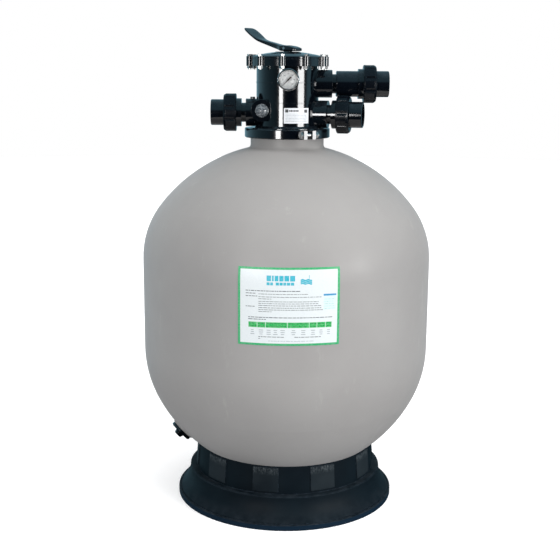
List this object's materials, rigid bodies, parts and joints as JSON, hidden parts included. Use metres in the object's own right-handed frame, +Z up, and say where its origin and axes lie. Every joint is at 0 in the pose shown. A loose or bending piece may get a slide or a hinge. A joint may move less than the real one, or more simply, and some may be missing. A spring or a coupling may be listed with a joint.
{
  "type": "sand filter tank",
  "caption": "Sand filter with a round moulded tank on a flared black stand, topped by a multiport selector valve with lever, gauge and union ports.",
  "frame": {"origin": "middle of the stand's underside, on the floor", "axes": "+Z up the tank axis; gauge and tank label face -Y; waste port along -X, pump port along +X, return port 12 degrees from +X towards -Y"},
  "size_m": [0.627, 0.6275, 1.033],
  "materials": {
    "tank_moulding": "moulded tank wall, warm grey, satin",
    "black_plastic": "injection-moulded black, semi-gloss",
    "nut_plastic": "injection-moulded black, semi-gloss, fluted grip",
    "pipe_plastic": "white pipe and slotted collector",
    "rotor_plastic": "glass-filled plastic",
    "seal_rubber": "black rubber",
    "label_film": "printed film, satin",
    "plate_film": "printed film, satin",
    "bolt_steel": "stainless fasteners",
    "spring_steel": "stainless spring wire",
    "clear_window": "clear plastic window",
    "gauge_window": "clear gauge lens",
    "gauge_metal": "bright gauge case",
    "gauge_brass": "brass stem and tube",
    "dial_card": "white printed dial",
    "pointer_paint": "black pointer"
  },
  "bodies": {
    "root": {"air_tube": "pipe_plastic", "base": "black_plastic", "body_label": "plate_film", "clamp_bolts": "bolt_steel", "clamp_half_left": "black_plastic", "clamp_half_right": "black_plastic", "clamp_nuts": "bolt_steel", "drain_body": "black_plastic", "drain_gasket": "seal_rubber", "drain_locknut": "black_plastic", "drain_plug_seal": "seal_rubber", "drain_strainer": "pipe_plastic", "gauge_case": "gauge_metal", "gauge_dial": "dial_card", "gauge_lens": "gauge_window", "gauge_stem": "gauge_brass", "gauge_tube": "gauge_brass", "lateral_1": "pipe_plastic", "lateral_2": "pipe_plastic", "lateral_3": "pipe_plastic", "lateral_4": "pipe_plastic", "lateral_5": "pipe_plastic", "lateral_6": "pipe_plastic", "lateral_7": "pipe_plastic", "lateral_8": "pipe_plastic", "lateral_hub": "pipe_plastic", "lid": "black_plastic", "lid_bolts": "bolt_steel", "lid_nuts": "bolt_steel", "lid_oring": "seal_rubber", "neck_oring": "seal_rubber", "pump_extension": "black_plastic", "pump_union_end": "black_plastic", "pump_union_oring": "seal_rubber", "pump_union_tail": "black_plastic", "return_union_end": "black_plastic", "return_union_oring": "seal_rubber", "return_union_tail": "black_plastic", "sight_glass": "clear_window", "sight_glass_seal": "seal_rubber", "spider_gasket": "seal_rubber", "standpipe": "pipe_plastic", "stem_oring": "seal_rubber", "tank_label": "label_film", "tank_shell": "tank_moulding", "top_diffuser": "pipe_plastic", "valve_body": "black_plastic", "waste_union_end": "black_plastic", "waste_union_oring": "seal_rubber", "waste_union_tail": "black_plastic"},
    "selector": {"thrust_washer": "rotor_plastic", "rotor_spring": "spring_steel"},
    "rotor": {"rotor": "rotor_plastic", "handle_pin": "bolt_steel"},
    "lever": {"handle": "black_plastic"},
    "pointer": {"gauge_pointer": "pointer_paint"},
    "drain_screw": {"drain_plug": "black_plastic"},
    "waste_nut": {"waste_union_nut": "nut_plastic"},
    "return_nut": {"return_union_nut": "nut_plastic"},
    "pump_nut": {"pump_union_nut": "nut_plastic"}
  },
  "joints": [
    {"name": "selector_turn", "type": "hinge", "parent": "root", "child": "selector", "pos_m": [0, 0, 0.97], "axis": [0, 0, 1], "continuous": true},
    {"name": "stem_lift", "type": "slide", "parent": "selector", "child": "rotor", "axis": [0, 0, 1], "range_m": [0, 0.006], "deforming": ["rotor_spring"]},
    {"name": "handle_press", "type": "hinge", "parent": "rotor", "child": "lever", "pos_m": [0, 0, 0.989], "axis": [-0.6428, -0.766, 0], "range_deg": [0, 15]},
    {"name": "gauge_swing", "type": "hinge", "parent": "root", "child": "pointer", "pos_m": [0.001, -0.0942, 0.9245], "axis": [0, 1, 0], "range_deg": [0, 270]},
    {"name": "drain_plug_turn", "type": "hinge", "parent": "root", "child": "drain_screw", "pos_m": [-0.22571, -0.07948, 0.16471], "axis": [-0.701, -0.2468, -0.6691], "continuous": true},
    {"name": "waste_nut_turn", "type": "hinge", "parent": "root", "child": "waste_nut", "pos_m": [-0.12, 0, 0.854], "axis": [-1, 0, 0], "continuous": true},
    {"name": "return_nut_turn", "type": "hinge", "parent": "root", "child": "return_nut", "pos_m": [0.11738, -0.02495, 0.8515], "axis": [0.9781, -0.2079, 0], "continuous": true},
    {"name": "pump_nut_turn", "type": "hinge", "parent": "root", "child": "pump_nut", "pos_m": [0.17, 0, 0.9155], "axis": [1, 0, 0], "continuous": true}
  ],
  "couplings": [
    {"joint": "stem_lift", "follows": "handle_press", "m_per_rad": 0.022918}
  ]
}
